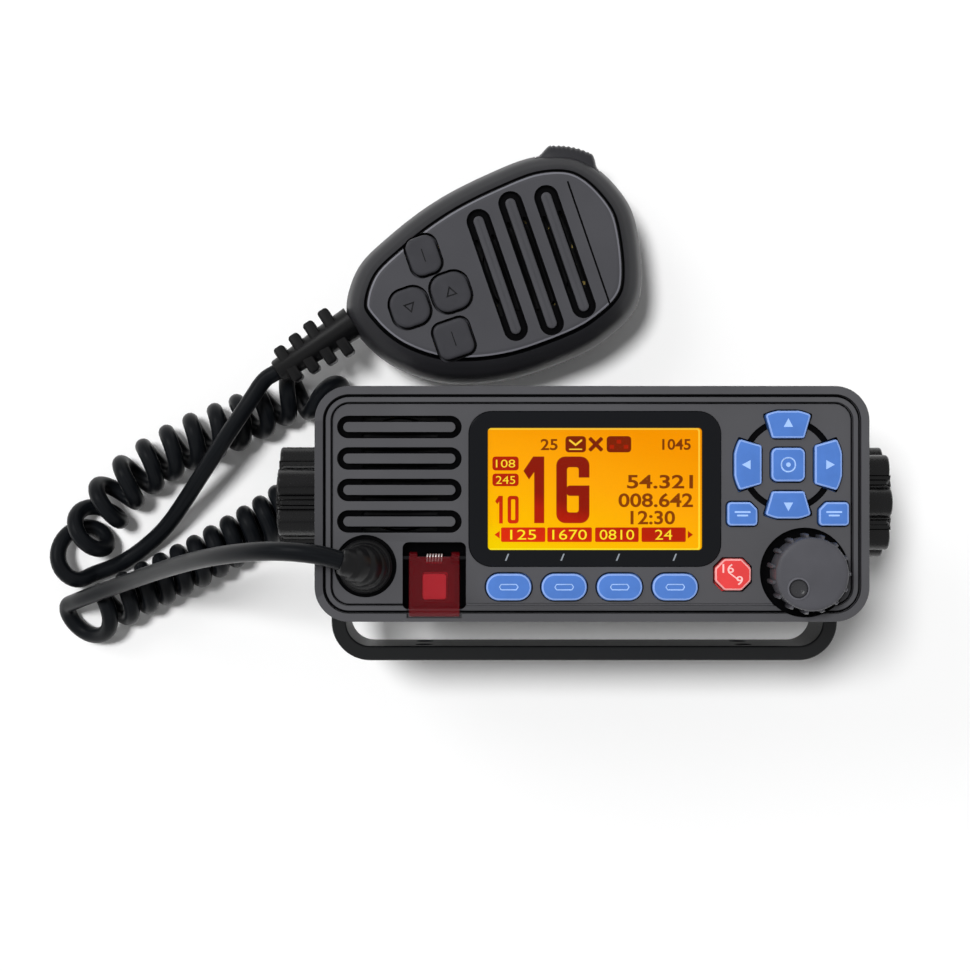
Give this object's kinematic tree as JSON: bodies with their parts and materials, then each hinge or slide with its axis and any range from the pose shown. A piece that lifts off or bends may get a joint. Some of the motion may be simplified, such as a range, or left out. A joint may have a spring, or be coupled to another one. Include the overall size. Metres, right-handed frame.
{
  "type": "vhf marine radio",
  "caption": "Fixed-mount marine VHF radio with amber display, blue keys, rotary knob, flip-cover distress key, fist microphone on a curly cord, and a gimbal bracket with clamp knobs.",
  "frame": {"origin": "centre of the rear resting face, on the tips of the heat-sink fins", "axes": "+Z out of the front panel, +X along the radio's width to the right as seen from the front, +Y towards its upper edge"},
  "size_m": [0.2738, 0.1667, 0.1271],
  "materials": {
    "front_panel": "satin mould grain",
    "lens_black": "high gloss",
    "window": "clear amber",
    "lcd": "backlit amber",
    "die_cast": "black powder coat",
    "seal_rubber": "matte",
    "circuit_board": "solder mask",
    "module_can": "plain",
    "speaker_frame": "matte",
    "mat_silicone": "matte",
    "key_blue": "satin, backlit",
    "key_red": "satin, backlit",
    "knob_plastic": "fine grain",
    "steel": "turned",
    "encoder": "zinc",
    "cover_red": "translucent",
    "distress_red": "gloss",
    "spring_steel": "bright",
    "bracket_plastic": "satin",
    "clamp_plastic": "satin",
    "plated": "plated",
    "insulator": "waxy",
    "cord_rubber": "smooth",
    "mic_front": "fine grain",
    "mic_back": "fine grain",
    "mic_keys": "matte",
    "capsule": "plain"
  },
  "bodies": {
    "radio": {"front_housing": "front_panel", "lens_frame": "lens_black", "lcd_window": "window", "lcd_module": "lcd", "rear_case": "die_cast", "case_flange": "die_cast", "case_fins": "die_cast", "seam_gasket": "seal_rubber", "main_board": "circuit_board", "amplifier_module": "module_can", "front_board": "circuit_board", "speaker": "speaker_frame", "key_mat": "mat_silicone", "encoder_body": "encoder", "cover_hinge_pin": "steel", "cover_spring": "spring_steel", "pivot_washers": "seal_rubber", "antenna_socket": "plated", "socket_insulator": "insulator", "power_gland": "seal_rubber", "housing_screws": "steel", "cord_gland": "cord_rubber", "radio_lead": "cord_rubber", "curly_cord": "cord_rubber", "mic_lead": "cord_rubber", "mic_front_shell": "mic_front", "mic_rear_shell": "mic_back", "mic_board": "circuit_board", "mic_capsule": "capsule", "mic_speaker": "speaker_frame", "mic_strain_relief": "cord_rubber", "mic_hanger_button": "plated", "mic_screws": "steel"},
    "soft_key_1": {"soft_key_1": "key_blue"},
    "soft_key_2": {"soft_key_2": "key_blue"},
    "soft_key_3": {"soft_key_3": "key_blue"},
    "soft_key_4": {"soft_key_4": "key_blue"},
    "up_key": {"up_key": "key_blue"},
    "down_key": {"down_key": "key_blue"},
    "left_key": {"left_key": "key_blue"},
    "right_key": {"right_key": "key_blue"},
    "ok_key": {"ok_key": "key_blue"},
    "corner_key_left": {"corner_key_left": "key_blue"},
    "corner_key_right": {"corner_key_right": "key_blue"},
    "red_channel_key": {"red_channel_key": "key_red"},
    "mic_key_top": {"mic_key_top": "mic_keys"},
    "mic_key_up": {"mic_key_up": "mic_keys"},
    "mic_key_down": {"mic_key_down": "mic_keys"},
    "mic_key_bottom": {"mic_key_bottom": "mic_keys"},
    "distress_key": {"distress_key": "distress_red"},
    "distress_cover": {"distress_cover": "cover_red"},
    "bracket": {"bracket": "bracket_plastic"},
    "ptt_button": {"ptt_button": "mic_keys"},
    "push_stage": {"encoder_plunger": "encoder"},
    "knob": {"control_knob": "knob_plastic", "encoder_shaft": "steel"},
    "left_stud": {"left_clamp_stud": "steel"},
    "left_clamp": {"left_clamp_knob": "clamp_plastic"},
    "right_stud": {"right_clamp_stud": "steel"},
    "right_clamp": {"right_clamp_knob": "clamp_plastic"}
  },
  "joints": [
    {"name": "soft_key_1_press", "type": "slide", "parent": "radio", "child": "soft_key_1", "axis": [0, 0, -1], "range_m": [0, 0.0008], "stiffness_N_per_m": 1000, "springref_m": -0.0005},
    {"name": "soft_key_2_press", "type": "slide", "parent": "radio", "child": "soft_key_2", "axis": [0, 0, -1], "range_m": [0, 0.0008], "stiffness_N_per_m": 1000, "springref_m": -0.0005},
    {"name": "soft_key_3_press", "type": "slide", "parent": "radio", "child": "soft_key_3", "axis": [0, 0, -1], "range_m": [0, 0.0008], "stiffness_N_per_m": 1000, "springref_m": -0.0005},
    {"name": "soft_key_4_press", "type": "slide", "parent": "radio", "child": "soft_key_4", "axis": [0, 0, -1], "range_m": [0, 0.0008], "stiffness_N_per_m": 1000, "springref_m": -0.0005},
    {"name": "up_key_press", "type": "slide", "parent": "radio", "child": "up_key", "axis": [0, 0, -1], "range_m": [0, 0.0008], "stiffness_N_per_m": 1000, "springref_m": -0.0005},
    {"name": "down_key_press", "type": "slide", "parent": "radio", "child": "down_key", "axis": [0, 0, -1], "range_m": [0, 0.0008], "stiffness_N_per_m": 1000, "springref_m": -0.0005},
    {"name": "left_key_press", "type": "slide", "parent": "radio", "child": "left_key", "axis": [0, 0, -1], "range_m": [0, 0.0008], "stiffness_N_per_m": 1000, "springref_m": -0.0005},
    {"name": "right_key_press", "type": "slide", "parent": "radio", "child": "right_key", "axis": [0, 0, -1], "range_m": [0, 0.0008], "stiffness_N_per_m": 1000, "springref_m": -0.0005},
    {"name": "ok_key_press", "type": "slide", "parent": "radio", "child": "ok_key", "axis": [0, 0, -1], "range_m": [0, 0.0008], "stiffness_N_per_m": 1000, "springref_m": -0.0005},
    {"name": "corner_key_left_press", "type": "slide", "parent": "radio", "child": "corner_key_left", "axis": [0, 0, -1], "range_m": [0, 0.0008], "stiffness_N_per_m": 1000, "springref_m": -0.0005},
    {"name": "corner_key_right_press", "type": "slide", "parent": "radio", "child": "corner_key_right", "axis": [0, 0, -1], "range_m": [0, 0.0008], "stiffness_N_per_m": 1000, "springref_m": -0.0005},
    {"name": "red_channel_key_press", "type": "slide", "parent": "radio", "child": "red_channel_key", "axis": [0, 0, -1], "range_m": [0, 0.0008], "stiffness_N_per_m": 1000, "springref_m": -0.0005},
    {"name": "distress_key_press", "type": "slide", "parent": "radio", "child": "distress_key", "axis": [0, 0, -1], "range_m": [0, 0.0012], "stiffness_N_per_m": 1000, "springref_m": -0.0005},
    {"name": "cover_hinge", "type": "hinge", "parent": "radio", "child": "distress_cover", "pos_m": [-0.0455, -0.0156, 0.1087], "axis": [-1, 0, 0], "range_deg": [0, 95], "stiffness_Nm_per_rad": 0.004, "springref_deg": -34.38},
    {"name": "knob_push", "type": "slide", "parent": "radio", "child": "push_stage", "axis": [0, 0, -1], "range_m": [0, 0.0006], "stiffness_N_per_m": 2500, "springref_m": -0.0004},
    {"name": "knob_turn", "type": "hinge", "parent": "push_stage", "child": "knob", "pos_m": [0.0615, -0.0198, 0.116], "axis": [0, 0, 1], "continuous": true},
    {"name": "bracket_tilt", "type": "hinge", "parent": "radio", "child": "bracket", "pos_m": [0, 0, 0.052], "axis": [1, 0, 0], "range_deg": [-25, 32]},
    {"name": "left_stud_slide", "type": "slide", "parent": "radio", "child": "left_stud", "axis": [-1, 0, 0], "range_m": [0, 0.00161]},
    {"name": "left_clamp_turn", "type": "hinge", "parent": "left_stud", "child": "left_clamp", "pos_m": [-0.0872, 0, 0.052], "axis": [1, 0, 0], "range_deg": [0, 576]},
    {"name": "right_stud_slide", "type": "slide", "parent": "radio", "child": "right_stud", "axis": [1, 0, 0], "range_m": [0, 0.00161]},
    {"name": "right_clamp_turn", "type": "hinge", "parent": "right_stud", "child": "right_clamp", "pos_m": [0.0872, 0, 0.052], "axis": [-1, 0, 0], "range_deg": [0, 576]},
    {"name": "ptt_press", "type": "slide", "parent": "radio", "child": "ptt_button", "axis": [-0.2588, -0.9659, 0], "range_m": [0, 0.0015], "stiffness_N_per_m": 800, "springref_m": -0.0005},
    {"name": "mic_key_top_press", "type": "slide", "parent": "radio", "child": "mic_key_top", "axis": [0, 0, -1], "range_m": [0, 0.0006], "stiffness_N_per_m": 1000, "springref_m": -0.0005},
    {"name": "mic_key_up_press", "type": "slide", "parent": "radio", "child": "mic_key_up", "axis": [0, 0, -1], "range_m": [0, 0.0006], "stiffness_N_per_m": 1000, "springref_m": -0.0005},
    {"name": "mic_key_down_press", "type": "slide", "parent": "radio", "child": "mic_key_down", "axis": [0, 0, -1], "range_m": [0, 0.0006], "stiffness_N_per_m": 1000, "springref_m": -0.0005},
    {"name": "mic_key_bottom_press", "type": "slide", "parent": "radio", "child": "mic_key_bottom", "axis": [0, 0, -1], "range_m": [0, 0.0006], "stiffness_N_per_m": 1000, "springref_m": -0.0005}
  ],
  "couplings": [
    {"joint": "left_stud_slide", "follows": "left_clamp_turn", "m_per_rad": 0.00015915},
    {"joint": "right_stud_slide", "follows": "right_clamp_turn", "m_per_rad": 0.00015915}
  ]
}
